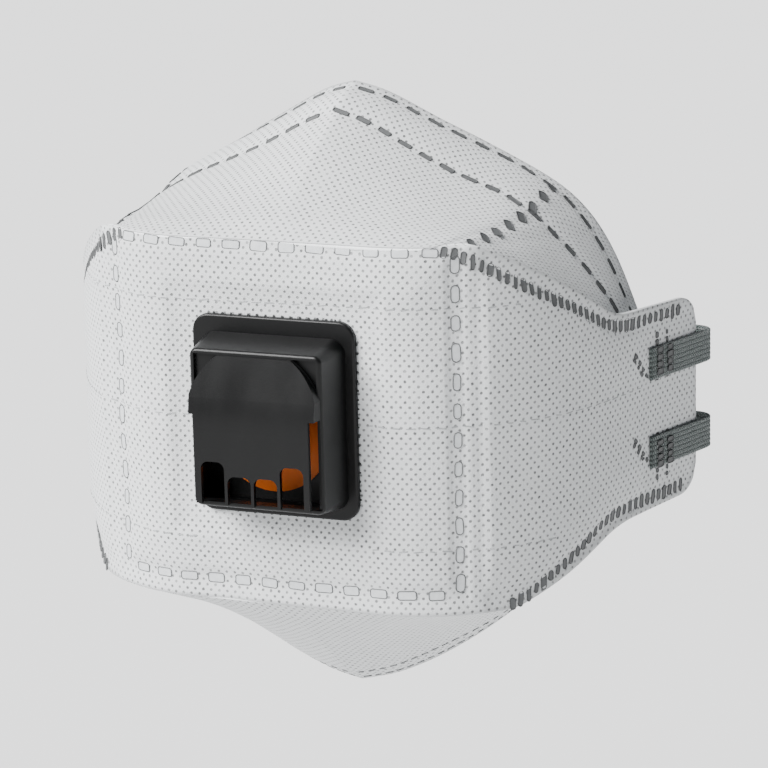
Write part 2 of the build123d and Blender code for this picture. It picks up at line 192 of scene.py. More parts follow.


# Web melted flat by the welding horn: darker and smoother than the cloth, its dark levels also standing for
# painted shade inside the embossed dents and along their outlines.
def weldFinish(name, level, rough):
    weld = Finish(name, Roughness=rough, Specular_IOR_Level=0.45)
    place = weld.place()
    cloud = weld.cloud(place, 900.0, 3.0)
    base = weld.blend(cloud, grey(level * 0.8, (0.97, 1, 1.02)), grey(level * 1.2, (0.97, 1, 1.02)))
    weld.set(Base_Color=base, Roughness=rough + (cloud - 0.5) * 0.3)
    weld.bump(cloud, 0.00008, 0.5)
    return weld.material


# Moulded polypropylene: fine spark-eroded grain and faint flow marks.
def plasticFinish(name, level, rough):
    plastic = Finish(name, Roughness=rough, Specular_IOR_Level=0.21)
    place = plastic.place()
    grain = plastic.cloud(place, 5200.0, 2.0)
    flow = plastic.cloud(plastic.scaled(place, (1.0, 1.0, 0.35)), 160.0, 3.0)
    base = plastic.blend(flow, grey(level, (0.97, 0.98, 1.02)), grey(level * 1.7, (0.98, 1, 1.03)))
    plastic.set(Base_Color=base, Roughness=rough + (flow - 0.5) * 0.16 + (grain - 0.5) * 0.08)
    plastic.bump(grain + flow * 0.4, 0.00003, 0.5)
    return plastic.material


# Orange silicone sheet with a soft sheen and a trace of dust.
def siliconeFinish():
    rubber = Finish("siliconeSheet", Specular_IOR_Level=0.2, Subsurface_Weight=0.1, Subsurface_Scale=0.002)
    rubber.shader.inputs["Subsurface Radius"].default_value = (1.0, 0.35, 0.1)
    dust = rubber.cloud(rubber.place(), 700.0, 4.0, 0.6)
    base = rubber.blend(dust.step(0.45, 0.8) * 0.35, (0.5, 0.095, 0.001, 1), (0.42, 0.1, 0.012, 1))
    rubber.set(Base_Color=base, Roughness=0.36 + dust * 0.22)
    rubber.bump(dust, 0.00004, 0.4)
    return rubber.material


# Knitted elastic: chevron stitches over seven cords of rubber thread, with painted shade darkening the
# stitch gaps and the grooves between cords.
def braidFinish():
    braid = Finish("elasticBraid", Roughness=0.85, Sheen_Weight=0.35, Specular_IOR_Level=0.25)
    along, across, side = braid.parts(braid.place("strapPlace"))
    ribs = (across * 7.0).math("FRACT")
    slant = (ribs - 0.5).math("ABSOLUTE")
    stitch = ((along * 1.4) + slant * 1.1).math("FRACT")
    wave = (stitch - 0.5).math("ABSOLUTE") * 2.0
    # Painted shade: the colour below is darker where the stitch relief is low and in the grooves between
    # cords.
    valley = slant.step(0.32, 0.5)
    fluff = braid.cloud(braid.place("strapPlace"), 6.0, 3.0)
    share = (wave.step(0.15, 0.85) * 0.75 + fluff * 0.35) * (1 - valley * 0.75)
    base = braid.blend(share, (0.022, 0.030, 0.029, 1), (0.135, 0.165, 0.158, 1))
    braid.set(Base_Color=base)
    braid.bump(wave * (1 - valley) + fluff * 0.3, 0.00035, 0.9)
    return braid.material


# Open-cell polyurethane foam, with painted shade darkening its open cells.
def foamFinish():
    foam = Finish("noseFoamCells", Roughness=0.95, Specular_IOR_Level=0.2)
    place = foam.place()
    cells = foam.node("ShaderNodeTexVoronoi", {"feature": "F1"}, {"Vector": place, "Scale": 1500.0})
    patches = foam.cloud(place, 260.0, 3.0)
    paintedPoreShade = 1 - cells.step(0.15, 0.5)
    base = foam.blend(paintedPoreShade * 0.8, grey(0.66, (0.98, 1, 1.02)), grey(0.25))
    foam.set(Base_Color=base)
    foam.bump(cells + patches * 0.5, 0.0003, 0.9)
    return foam.material


# Soft aluminium strip, drawn along its length.
def metalFinish():
    metal = Finish("clipAluminium", Metallic=1.0, Roughness=0.35)
    lines = metal.cloud(metal.scaled(metal.place(), (40.0, 900.0, 900.0)), 1.0, 4.0)
    metal.set(Base_Color=metal.blend(lines, grey(0.62), grey(0.8)), Roughness=0.28 + lines * 0.2)
    metal.bump(lines, 0.00003, 0.4)
    return metal.material


finishes = {
    "cover": clothFinish("coverCloth", coverCloth),
    "lining": clothFinish("liningCloth", liningCloth),
    "core": clothFinish("coreCloth", coreCloth),
    # The two darkest weld finishes: melted web plus painted shade of the dents and their outlines.
    "weldDarkMeltAndDentShade": weldFinish("weldDarkMeltAndDentShade", 0.055, 0.55),
    "weldMeltAndDentShade": weldFinish("weldMeltAndDentShade", 0.095, 0.6),
    "weldPad": weldFinish("weldPad", 0.53, 0.7),
    "plastic": plasticFinish("valvePlastic", 0.0024, 0.34),
    "silicone": siliconeFinish(),
    "braid": braidFinish(),
    "foam": foamFinish(),
    "metal": metalFinish(),
}
print("finishes made")


# Point on the plan line at a run, depth inwards, with the unit vector along it.
def planPoint(run, depth=0.0):
    s = maskSizes
    side = -1.0 if run < 0 else 1.0
    left = abs(run)
    x, y, angle = 0.0, s["frontY"], 0.0
    bends = [(s["frontFlat"], None), (None, s["cornerRadius"]), (None, s["wingRadius"]), (1e9, None)]
    turns = [0, math.radians(s["cornerTurn"]), math.radians(s["wingTurn"]), 0]
    for (flat, radius), turn in zip(bends, turns):
        long = flat if radius is None else radius * turn
        part = min(left, long)
        if radius is None:
            x += part * math.cos(angle)
            y += part * math.sin(angle)
        else:
            swept = part / radius
            x += radius * (math.sin(angle + swept) - math.sin(angle))
            y += radius * (math.cos(angle) - math.cos(angle + swept))
            angle += swept
        left -= part
        if left <= 0:
            break
    x -= depth * math.sin(angle)
    y += depth * math.cos(angle)
    return x * side, y, (math.cos(angle), math.sin(angle) * side)


def planLength():
    s = maskSizes
    corner = s["cornerRadius"] * math.radians(s["cornerTurn"])
    wing = s["wingRadius"] * math.radians(s["wingTurn"])
    return s["frontFlat"] + (corner + wing) + s["tabRun"]


tabRun = planLength()


def softMin(a, b, reach):
    share = max(0.0, min(1.0, 0.5 + (b - a) / (2 * reach)))
    return b + (a - b) * share - reach * share * (1 - share)


# Height of the centre panel's edge at a run: fold, seam flange or tab.
def outline(run, upward):
    s = maskSizes
    fold, start, tab = (
        (s["foldTop"], s["seamTopY"], s["tabTop"]) if upward > 0
        else (-s["foldBottom"], s["seamBottomY"], -s["tabBottom"])
    )
    y = planPoint(abs(run))[1]
    slope = (tab + s["rootRise"] - fold) / (s["rootY"] - start)
    onSeam = fold + slope * (y - start)
    onTab = tab + 0.15 - 0.03 * (y - s["rootY"])
    height = -softMin(-softMin(fold, onSeam, 0.8), -onTab, 2.2)
    near = s["tabCorner"] - (tabRun - abs(run))
    if near > 0:
        height -= s["tabCorner"] - math.sqrt(max(0.0, s["tabCorner"] ** 2 - near ** 2))
    return height * upward


class Edge:  # a smooth line through points, read by its length
    def __init__(self, points):
        points = np.array(points, float)
        knots = np.concatenate([[0], np.cumsum(np.linalg.norm(np.diff(points, axis=0), axis=1))])
        count = len(points)
        matrix, right = np.zeros((count, count)), np.zeros((count, 3))
        matrix[0, 0] = matrix[-1, -1] = 1
        for i in range(1, count - 1):
            before, after = knots[i] - knots[i - 1], knots[i + 1] - knots[i]
            matrix[i, i - 1:i + 2] = before, 2 * (before + after), after
            rise = (points[i + 1] - points[i]) / after - (points[i] - points[i - 1]) / before
            right[i] = 6 * rise
        bend = np.linalg.solve(matrix, right)
        fine = []
        for i in range(count - 1):
            span = knots[i + 1] - knots[i]
            for t in np.linspace(0, 1, 40, endpoint=False):
                a, b = 1 - t, t
                curve = ((a ** 3 - a) * bend[i] + (b ** 3 - b) * bend[i + 1]) * span ** 2 / 6
                fine.append(a * points[i] + b * points[i + 1] + curve)
        fine.append(points[-1])
        self.fine = np.array(fine)
        self.at = np.concatenate([[0], np.cumsum(np.linalg.norm(np.diff(self.fine, axis=0), axis=1))])
        self.length = self.at[-1]

    def point(self, length):
        return np.array([np.interp(length, self.at, self.fine[:, i]) for i in range(3)])


class Panel:  # top or bottom panel: strips from the fold or seam to the free edge
    def __init__(self, points, ridgeOnEdge, foldZ, tabZ, seamStart, upward):
        s = maskSizes
        self.edge, self.ridgeOnEdge, self.foldZ = Edge(points), ridgeOnEdge, foldZ
        self.seamZ = tabZ + (s["rootRise"] - s["flange"]) * upward
        self.seamStart, self.upward = seamStart, upward
        self.ridge, self.tuckRun, self.rootRun = 42.0, 8.0, 77.0
        self.lastRun = self.rootRun + abs(self.seamZ) - 0.5

    def foot(self, run):
        s = maskSizes
        tucked = max(0.0, min(1.0, 2 * (run - self.ridge + self.tuckRun) / self.tuckRun))
        depth = tucked * tucked * (3 - 2 * tucked) * (s["laminate"] + s["seamGap"])
        x, y, _ = planPoint(min(run, self.rootRun), depth)
        if run > self.rootRun:
            return np.array([x, y, self.seamZ - (run - self.rootRun) * self.upward])
        share = max(0.0, min(1.0, (y - self.seamStart) / (s["rootY"] - self.seamStart)))
        return np.array([x, y, self.foldZ + share * (self.seamZ - self.foldZ)])

    def headLength(self, run):
        if run <= self.ridge:
            return run / self.ridge * self.ridgeOnEdge
        rest = (run - self.ridge) / (self.lastRun - self.ridge)
        return self.ridgeOnEdge + rest * (self.edge.length - self.ridgeOnEdge)

    def strip(self, run):
        near, far = max(run - 1.5, 0), min(run + 1.5, self.lastRun)
        foot, head = self.foot(run), self.edge.point(self.headLength(run))
        along = self.foot(far) - self.foot(near)
        along = along + self.edge.point(self.headLength(far)) - self.edge.point(self.headLength(near))
        if run == 0:
            along = np.array([1.0, 0, 0])
        up = (head - foot) / np.linalg.norm(head - foot)
        inward = np.cross(up, along) * self.upward
        return foot, head, inward / np.linalg.norm(inward)

    # Point at a signed run and a share of its strip, and the outward normal.
    def point(self, run, share, depth=0.0):
        foot, head, inward = self.strip(abs(run))
        place = foot + (head - foot) * share + inward * depth
        if run < 0:
            place, inward = place * (-1, 1, 1), inward * (-1, 1, 1)
        return place, -inward


topPanel = Panel(noseEdge, 63.0, maskSizes["foldTop"], maskSizes["tabTop"], maskSizes["seamTopY"], 1)
bottomPanel = Panel(
    chinEdge, 56.0, maskSizes["foldBottom"], maskSizes["tabBottom"], maskSizes["seamBottomY"], -1
)


class Centre:  # centre panel: share 0 is the bottom outline, 1 the top one
    upward = 0

    def point(self, run, share, depth=0.0):
        low, high = outline(run, -1), outline(run, 1)
        x, y, along = planPoint(run, depth)
        return np.array([x, y, low + (high - low) * share]), np.array([along[1], -along[0], 0.0])

    def atHeight(self, run, height, depth=0.0):
        low, high = outline(run, -1), outline(run, 1)
        return self.point(run, (height - low) / (high - low), depth)


centrePanel = Centre()


quilting = {
    "groove": 0.4, "grooveReach": 1.9, "pillow": 0.8, "wander": 0.55, "wanderScale": 0.055,
    "rectangleRun": 38.2, "rowTop": 42.0, "rowBottom": -29.6, "clipSwell": 0.35,
}


def wander(place, seed):
    spot = Vector(place) * quilting["wanderScale"] + Vector((seed, seed * 1.7, 0))
    return noise.noise(spot) * quilting["wander"]


def groove(distance):
    return -quilting["groove"] * math.exp(-((distance / quilting["grooveReach"]) ** 4))


def centreSwell(run, height, place):
    q = quilting
    swell = wander(place, 3.1)
    away = abs(run)
    inside = min(q["rectangleRun"] - away, height - q["rowBottom"], q["rowTop"] - height)
    if away < q["rectangleRun"] + 6 and height > q["rowBottom"] - 6:
        swell += groove(inside)
    valve = max(0.0, 1 - max(away / 24.0, abs(height - 6.7) / 27.0) ** 6)
    if inside > 0:
        swell += q["pillow"] * min(1.0, inside / 9.0) * (1 - valve)
    edge = min(outline(run, 1) - height, height - outline(run, -1))
    if away > 44:
        swell += groove(edge - maskSizes["flange"]) * 0.8
        if edge > 3:
            swell += q["pillow"] * 0.8 * min(1.0, (edge - 3) / 8.0)
    if away > 86:
        calm = max(0.0, 1 - (away - 86) / 5.0)
        swell *= 0.25 + 0.75 * calm
    return swell * (1 - valve)


def panelSwell(panel, run, share, length, place):
    q = quilting
    fromEdge = (1 - share) * length
    swell = wander(place, 5.3 * panel.upward) * min(1.0, share * length / 6.0)
    outer, inner = (
        weldDepth(line, run) for line in
        (("noseOuter", "noseInner") if panel.upward > 0 else ("chinOuter", "chinInner"))
    )
    swell += groove(fromEdge - outer) * 0.5 + groove(fromEdge - inner) * 0.7
    if panel.upward > 0 and outer < fromEdge < inner:
        middle, half = (outer + inner) / 2, (inner - outer) / 2
        swell += q["clipSwell"] * (1 - ((fromEdge - middle) / half) ** 2)
    hem = min(1.0, fromEdge / 7.0) * min(1.0, share * length / 6.0)
    return swell + q["pillow"] * 0.9 * hem


# Distance along a strip from the free edge to each weld line, by run.
weldLines = {
    "noseOuter": [(0, 2.4), (26, 2.7), (30, 3.6), (42, 4.9), (57, 5.3), (96, 5.6)],
    "noseInner": [
        (0, 11.4), (13, 14.3), (21, 16.5), (28, 18.0), (34, 20.3), (41, 19.9), (54, 17.3),
        (61, 15.9), (68, 13.8), (96, 10.0),
    ],
    "chinOuter": [(0, 1.6), (96, 2.4)],
    "chinInner": [(0, 6.0), (96, 8.0)],
}


def weldDepth(line, run):
    return float(np.interp(abs(run), *zip(*weldLines[line])))


webs = {
    "cover": {"from": 0.0, "to": 0.35, "step": 0.9, "rows": 0.9, "finish": "cover"},
    "core": {"from": 0.38, "to": -0.33, "step": 2.2, "rows": 2.2, "finish": "core"},
    "lining": {"from": -0.3, "to": 0.0, "step": 1.6, "rows": 1.6, "finish": "lining"},
}
thinEdge = {"edge": 0.95, "reach": 5.0}
port = {"x": 0.0, "z": 3.5, "radius": 14.25}


# Whole thickness of the laminate: pressed thin at a welded edge.
def thickness(fromEdge):
    share = max(0.0, min(1.0, fromEdge / thinEdge["reach"]))
    share = share * share * (3 - 2 * share)
    return thinEdge["edge"] + (maskSizes["laminate"] - thinEdge["edge"]) * share


# Closed sheet from two grids of points: outer face, inner face and rim.
def closedSheet(name, outer, inner, places, rowCount, hole=None):
    mesh = bmesh.new()
    layer = mesh.verts.layers.float_vector.new("clothPlace")
    columns = len(outer)
    faces = {}
    for side, grid in (("out", outer), ("in", inner)):
        for i in range(columns):
            for j in range(rowCount):
                vert = mesh.verts.new(Vector(grid[i][j]) * mm)
                vert[layer] = places[i][j]
                faces[side, i, j] = vert
    skip = set()
    if hole:
        for i in range(columns - 1):
            for j in range(rowCount - 1):
                middle = sum((Vector(outer[i + a][j + b]) for a in (0, 1) for b in (0, 1)), Vector()) / 4
                if math.hypot(middle.x - hole["x"], middle.z - hole["z"]) < hole["radius"] + 0.2:
                    skip.add((i, j))
        for i in range(1, columns - 1):
            for j in range(1, rowCount - 1):
                around = [(i - a, j - b) in skip for a in (0, 1) for b in (0, 1)]
                if any(around) and not all(around):
                    for side in ("out", "in"):
                        vert = faces[side, i, j]
                        away = Vector((vert.co.x / mm - hole["x"], 0, vert.co.z / mm - hole["z"]))
                        away = away.normalized() * hole["radius"]
                        vert.co.x = (hole["x"] + away.x) * mm
                        vert.co.z = (hole["z"] + away.z) * mm

    def quad(a, b, c, d):
        if len({a, b, c, d}) == 4:
            mesh.faces.new((a, b, c, d)).smooth = True

    for i in range(columns - 1):
        for j in range(rowCount - 1):
            if (i, j) in skip:
                continue
            corners = ((i, j), (i + 1, j), (i + 1, j + 1), (i, j + 1))
            quad(*[faces["out", *corner] for corner in corners])
            quad(*[faces["in", *corners[k]] for k in (0, 3, 2, 1)])
            for (a, b), (p, q) in (
                ((i - 1, j), ((i, j + 1), (i, j))), ((i + 1, j), ((i + 1, j), (i + 1, j + 1))),
                ((i, j - 1), ((i, j), (i + 1, j))), ((i, j + 1), ((i + 1, j + 1), (i, j + 1))),
            ):
                outside = a < 0 or b < 0 or a >= columns - 1 or b >= rowCount - 1
                if outside or (a, b) in skip:
                    quad(faces["out", *q], faces["out", *p], faces["in", *p], faces["in", *q])
    loose = [v for v in mesh.verts if not v.link_faces]
    bmesh.ops.delete(mesh, geom=loose, context="VERTS")
    bmesh.ops.recalc_face_normals(mesh, faces=mesh.faces)
    data = bpy.data.meshes.new(name)
    mesh.to_mesh(data)
    mesh.free()
    piece = bpy.data.objects.new(name, data)
    bpy.context.scene.collection.objects.link(piece)
    return piece


# Runs from -half to half, closer together near the given runs.
def spacing(half, step, fine=()):
    right = [0.0]
    while right[-1] < half - step * 0.6:
        near = min([abs(right[-1] - f) for f in fine] or [99])
        right.append(right[-1] + (step * 0.45 if near < 4 else step))
    right[-1] = half
    return [-r for r in reversed(right[1:])] + right


def webDepth(bound, whole):
    return bound if bound > 0 else whole + bound


def webPiece(panel, panelName, webName, fine=()):
    web = webs[webName]
    isCover = webName == "cover"
    if panel is centrePanel:
        runs, count = spacing(tabRun, web["step"], fine), int(75 / web["rows"])
    else:
        runs, count = spacing(panel.lastRun, web["step"], fine), int(54 / web["rows"])
    outer, inner, places = [], [], []
    for run in runs:
        columns = [], [], []
        if panel is not centrePanel:
            foot, head, _ = panel.strip(abs(run))
            length = np.linalg.norm(head - foot)
        for j in range(count + 1):
            share = j / count
            place, normal = panel.point(run, share)
            if panel is centrePanel:
                low, high = outline(run, -1), outline(run, 1)
                fromEdge = min(place[2] - low, high - place[2], tabRun - abs(run))
                swell = centreSwell(run, place[2], place) if abs(run) < tabRun - 0.5 else 0.0
                whole = thickness(fromEdge) if abs(run) > 41 else maskSizes["laminate"]
                cloth = (run, place[2], max(0.0, 1 - fromEdge / 2.5) if abs(run) > 43 else 0.0)
            else:
                fromEdge = (1 - share) * length
                swell = panelSwell(panel, run, share, length, place)
                whole = thickness(fromEdge)
                foot = abs(run) * (1 - share) + panel.headLength(abs(run)) * share
                cloth = (math.copysign(foot, run), share * length, max(0.0, 1 - fromEdge / 2.0))
            start = webDepth(web["from"], whole) if not isCover else 0.0
            end = webDepth(web["to"], whole) if web["to"] != 0 else whole
            inSwell = swell * (1.0 if isCover else 0.6)
            columns[0].append(place + normal * (swell if isCover else inSwell) - normal * start)
            columns[1].append(place + normal * inSwell - normal * end)
            columns[2].append(cloth)
        outer.append(columns[0])
        inner.append(columns[1])
        places.append(columns[2])
    name = f"{panelName}{webName.capitalize()}Web"
    hole = port if panel is centrePanel else None
    piece = closedSheet(name, outer, inner, places, count + 1, hole)
    piece.data.materials.append(finishes[web["finish"]])
    return piece


# Each panel's webs, made in place of the CAD layers they stand for, which are hidden.
replaced = {"cover": ["outer_cover"], "core": ["support_layer", "filter_layer"], "lining": ["inner_lining"]}
for panelName, panel, fine in (
    ("centre", centrePanel, (38.2, tabRun)), ("top", topPanel, (0, 42)), ("bottom", bottomPanel, (0, 42)),
):
    for webName in webs:
        piece = webPiece(panel, panelName, webName, fine)
        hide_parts(*[f"{panelName}_{node}" for node in replaced[webName]])
        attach(piece, bodyName)
    print(panelName, "webs made")


# Marks on points: a filleted outline with a pressed pad inside it.
def weldTree():
    tree = bpy.data.node_groups.new("weldMarks", "GeometryNodeTree")
    face = tree.interface
    face.new_socket("Geometry", in_out="INPUT", socket_type="NodeSocketGeometry")
    for name in ("Length", "Width", "Corner", "Rim"):
        face.new_socket(name, in_out="INPUT", socket_type="NodeSocketFloat")
    for name in ("Rim finish", "Pad finish"):
        face.new_socket(name, in_out="INPUT", socket_type="NodeSocketMaterial")
    face.new_socket("Geometry", in_out="OUTPUT", socket_type="NodeSocketGeometry")

    def node(kind, links=None, **settings):
        made = tree.nodes.new(kind)
        for key, value in settings.items():
            setattr(made, key, value)
        for key, value in (links or {}).items():
            if isinstance(value, bpy.types.NodeSocket):
                tree.links.new(value, made.inputs[key])
            else:
                made.inputs[key].default_value = value
        return made

    given = node("NodeGroupInput").outputs
    sides = {"Width": given["Length"], "Height": given["Width"]}
    box = node("GeometryNodeCurvePrimitiveQuadrilateral", sides).outputs[0]
    links = {"Curve": box, "Radius": given["Corner"], "Count": 2, "Limit Radius": True}
    box = node("GeometryNodeFilletCurve", links, mode="POLY").outputs[0]
    wire = node("GeometryNodeCurvePrimitiveCircle", {"Resolution": 4, "Radius": given["Rim"]}).outputs[0]
    rim = node("GeometryNodeCurveToMesh", {"Curve": box, "Profile Curve": wire}).outputs[0]
    pad = node("GeometryNodeFillCurve", {"Curve": box}, mode="NGONS").outputs[0]
    links = {"Geometry": pad, "Name": "isPad", "Value": True}
    pad = node("GeometryNodeStoreNamedAttribute", links, data_type="BOOLEAN", domain="FACE").outputs[0]
    both = node("GeometryNodeJoinGeometry")
    tree.links.new(rim, both.inputs[0])
    tree.links.new(pad, both.inputs[0])
    turn = node("GeometryNodeInputNamedAttribute", {"Name": "markTurn"}, data_type="FLOAT_VECTOR")
    size = node("GeometryNodeInputNamedAttribute", {"Name": "markSize"}, data_type="FLOAT_VECTOR")
    turned = node("FunctionNodeEulerToRotation", {"Euler": turn.outputs[0]})
    spread = node("GeometryNodeInstanceOnPoints", {
        "Points": given["Geometry"], "Instance": both.outputs[0], "Rotation": turned.outputs[0],
        "Scale": size.outputs[0],
    })
    real = node("GeometryNodeRealizeInstances", {"Geometry": spread.outputs[0]}).outputs[0]
    links = {"Geometry": real, "Material": given["Rim finish"]}
    rimmed = node("GeometryNodeSetMaterial", links).outputs[0]
    isPad = node("GeometryNodeInputNamedAttribute", {"Name": "isPad"}, data_type="BOOLEAN").outputs[0]
    links = {"Geometry": rimmed, "Selection": isPad, "Material": given["Pad finish"]}
    node("NodeGroupOutput", {"Geometry": node("GeometryNodeSetMaterial", links).outputs[0]})
    return tree


markTree = weldTree()


# Place, along and normal on a panel's swollen cover.
def onPanel(panel, run, share, lift=0.0, height=None):
    def cover(at, up):
        if panel is centrePanel:
            low, high = outline(at, -1), outline(at, 1)
            spot = (low + share * (high - low) if height is None else height) + up
            place, normal = panel.atHeight(at, spot)
            return Vector(place + normal * centreSwell(at, spot, place)), Vector(normal)
        foot, head, _ = panel.strip(abs(at))
        length = np.linalg.norm(head - foot)
        shareHere = share + up / length
        place, normal = panel.point(at, shareHere)
        return Vector(place + normal * panelSwell(panel, at, shareHere, length, place)), Vector(normal)
    place, outward = cover(run, 0.0)
    along = (cover(run + 0.5, 0.0)[0] - cover(run - 0.5, 0.0)[0]).normalized()
    across = cover(run, 0.5)[0] - cover(run, -0.5)[0]
    normal = along.cross(across).normalized()
    if normal.dot(outward) < 0:
        normal = -normal
    return place + normal * lift, along, normal


# Weld marks at (place, along, normal, turn in degrees) spots, as one plain mesh.
def markPiece(name, spots, length, width, corner, rim, finish=("weldMeltAndDentShade", "weldPad"), wander=0.12):
    points, turns, sizes = [], [], []
    for place, along, normal, turn in spots:
        across = normal.cross(along).normalized()
        along = across.cross(normal)
        basis = Matrix((along, across, normal)).transposed()
        spin = Matrix.Rotation(math.radians(turn + random.uniform(-4, 4) * wander * 8), 3, "Z")
        points.append(place * mm)
        turns.append((basis @ spin).to_euler())
        sizes.append([1 + random.uniform(-wander, wander), 1 + random.uniform(-wander, wander), 1])
    data = bpy.data.meshes.new(name)
    data.from_pydata(points, [], [])
    for key, rows in (("markTurn", turns), ("markSize", sizes)):
        layer = data.attributes.new(key, "FLOAT_VECTOR", "POINT")
        layer.data.foreach_set("vector", [value for row in rows for value in row])
    source = bpy.data.objects.new(name + "Points", data)
    bpy.context.scene.collection.objects.link(source)
    weld = source.modifiers.new("welds", "NODES")
    weld.node_group = markTree
    values = {
        "Length": length * mm, "Width": width * mm, "Corner": corner * mm, "Rim": rim * mm,
        "Rim finish": finishes[finish[0]], "Pad finish": finishes[finish[1]],
    }
    for item in markTree.interface.items_tree:
        if item.in_out == "INPUT" and item.name in values:
            weld[item.identifier] = values[item.name]
    shown = source.evaluated_get(bpy.context.evaluated_depsgraph_get())
    made = bpy.data.meshes.new_from_object(shown)
    bpy.data.objects.remove(source)
    made.name = name
    for key in ("markTurn", "markSize", "isPad"):
        if key in made.attributes:
            made.attributes.remove(made.attributes[key])
    piece = bpy.data.objects.new(name, made)
    bpy.context.scene.collection.objects.link(piece)
    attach(piece, bodyName)
    return piece


def centreSpot(run, height, turn=0.0, lift=0.09):
    return (*onPanel(centrePanel, run, None, lift, height), turn)


frontRectangle = {
    "pitch": 6.05, "topZ": 41.35, "bottomZ": -29.6, "columnRun": 38.2, "columnTop": 38.8,
    "rowStart": -33.3, "length": 3.5, "width": 1.9, "count": 12, "columnPitch": 6.0, "columnWidth": 1.7,
}
look = frontRectangle
rows = [
    centreSpot(look["rowStart"] + look["pitch"] * i, height)
    for height in (look["topZ"], look["bottomZ"]) for i in range(look["count"])
]
markPiece("frontRowWelds", rows, look["length"], look["width"], 0.45, 0.12)
columns = [
    centreSpot(side * look["columnRun"], look["columnTop"] - look["columnPitch"] * i, 90.0)
    for side in (-1, 1) for i in range(look["count"])
]
markPiece("frontColumnWelds", columns, look["length"], look["columnWidth"], 0.75, 0.12)

# Fine embossed dashes across the front, where the webs are tacked together.
tackLines = {"heightsAndReaches": ((29.8, 56.0), (5.5, 90.0), (-20.3, 63.0)), "pitch": 2.9}
tacks = []
for height, reach in tackLines["heightsAndReaches"]:
    for i in range(int(2 * reach / tackLines["pitch"])):
        run = -reach + tackLines["pitch"] * i
        if abs(run) < 19.5 and height < 29:  # none on the valve or below it
            continue
        tacks.append(centreSpot(run, height + 0.25 * math.sin(run * 0.07), lift=0.03))
markPiece("tackDashes", tacks, 1.7, 0.16, 0.06, 0.03, ("weldMeltAndDentShade", "weldPad"), wander=0.3)

sideSeam = {
    "top": [(36, 41.4), (38, 41.1), (41.7, 39.2), (47.4, 36.2), (56, 31.7), (65.7, 26.7), (71, 23.9),
            (75.3, 21.6), (79.6, 20.2), (84, 19.6), (105.5, 19.2)],
    "bottom": [(49.5, -33), (53.8, -31.4), (59.7, -28.4), (66.2, -25.4), (73.4, -21.4),
               (77.8, -20.0), (87.4, -19.4), (98.4, -19.5), (105.5, -19.2)],
    "pitch": 2.1, "length": 2.6, "width": 1.05,
}
bars = []
for key in ("top", "bottom"):
    points = np.array(sideSeam[key], float)
    at = np.concatenate([[0], np.cumsum(np.linalg.norm(np.diff(points, axis=0), axis=1))])
    for i in range(int(at[-1] / sideSeam["pitch"])):
        run, height = (np.interp(i * sideSeam["pitch"], at, points[:, k]) for k in (0, 1))
        bars += [centreSpot(side * run, height, side * 82.0) for side in (-1, 1)]
darkMark = ("weldDarkMeltAndDentShade", "weldMeltAndDentShade")
markPiece("sideSeamWelds", bars, sideSeam["length"], sideSeam["width"], 0.45, 0.12, darkMark, wander=0.22)


# Marks evenly along a weld line below a panel's free edge, on both sides.
def lineSpots(panel, line, first, pitch, lastRun, turn=0.0):
    runs = np.arange(0.5, lastRun, 0.5)
    shares = []
    for run in runs:
        foot, head, _ = panel.strip(run)
        shares.append(1 - weldDepth(line, run) / np.linalg.norm(head - foot))
    places = np.array([panel.point(run, share)[0] for run, share in zip(runs, shares)])
    at = np.concatenate([[0], np.cumsum(np.linalg.norm(np.diff(places, axis=0), axis=1))])
    spots = []
    for distance in np.arange(first, at[-1], pitch):
        run, share = (float(np.interp(distance, at, values)) for values in (runs, shares))
        ahead = [np.interp(distance + step, at, places[:, k]) for step in (-0.5, 0.5) for k in range(3)]
        for side in ((-1, 1) if distance > 0.01 else (1,)):
            along = Vector(ahead[3:]) - Vector(ahead[:3])
            along = Vector((along.x, along.y * side, along.z * side)).normalized()
            place, _, normal = onPanel(panel, run * side, share, 0.1)
            spots.append((place, along, normal, turn))
    return spots


noseLine = {"pitch": 5.45, "lowerPitch": 5.17, "length": 3.2, "width": 1.15}
upper = lineSpots(topPanel, "noseOuter", 2.4, noseLine["pitch"], 76)
lower = lineSpots(topPanel, "noseInner", 0.0, noseLine["lowerPitch"], 76)
markPiece("noseWelds", upper + lower, noseLine["length"], noseLine["width"], 0.3, 0.16, darkMark)
ridge = [
    (*onPanel(topPanel, side * (41.0 - 9.0 * share), share, 0.1), side * 15.0)
    for side in (-1, 1) for share in np.linspace(0.044, 0.904, 8)
]
markPiece("ridgeWelds", ridge, 1.9, 3.1, 0.5, 0.14, ("weldDarkMeltAndDentShade", "weldMeltAndDentShade"))
chin = lineSpots(bottomPanel, "chinOuter", 1.2, 2.6, 92) + lineSpots(bottomPanel, "chinInner", 1.2, 2.6, 60)
markPiece("chinDashes", chin, 1.5, 0.4, 0.15, 0.06, wander=0.25)

# Teeth of the ring of weld round the valve's flange.
valveEdge = {"halfWidth": 17.85, "halfHeight": 20.8, "middleZ": 6.3, "corner": 3.6, "pitch": 1.9}
teeth = []
wide, high, bend = valveEdge["halfWidth"], valveEdge["halfHeight"], valveEdge["corner"]
for side in (-1, 1):
    for i in range(int(2 * (wide - bend) / valveEdge["pitch"])):
        run = -wide + bend + valveEdge["pitch"] * (i + 0.5)
        teeth.append(centreSpot(run, valveEdge["middleZ"] + side * high, 90.0, 0.05))
    for i in range(int(2 * (high - bend) / valveEdge["pitch"])):
        height = valveEdge["middleZ"] - high + bend + valveEdge["pitch"] * (i + 0.5)
        teeth.append(centreSpot(side * wide, height, 0.0, 0.05))
markPiece("valveEdgeTeeth", teeth, 0.4, 0.4, 0.15, 0.06, ("weldDarkMeltAndDentShade", "weldDarkMeltAndDentShade"), wander=0.3)
print("weld marks made")


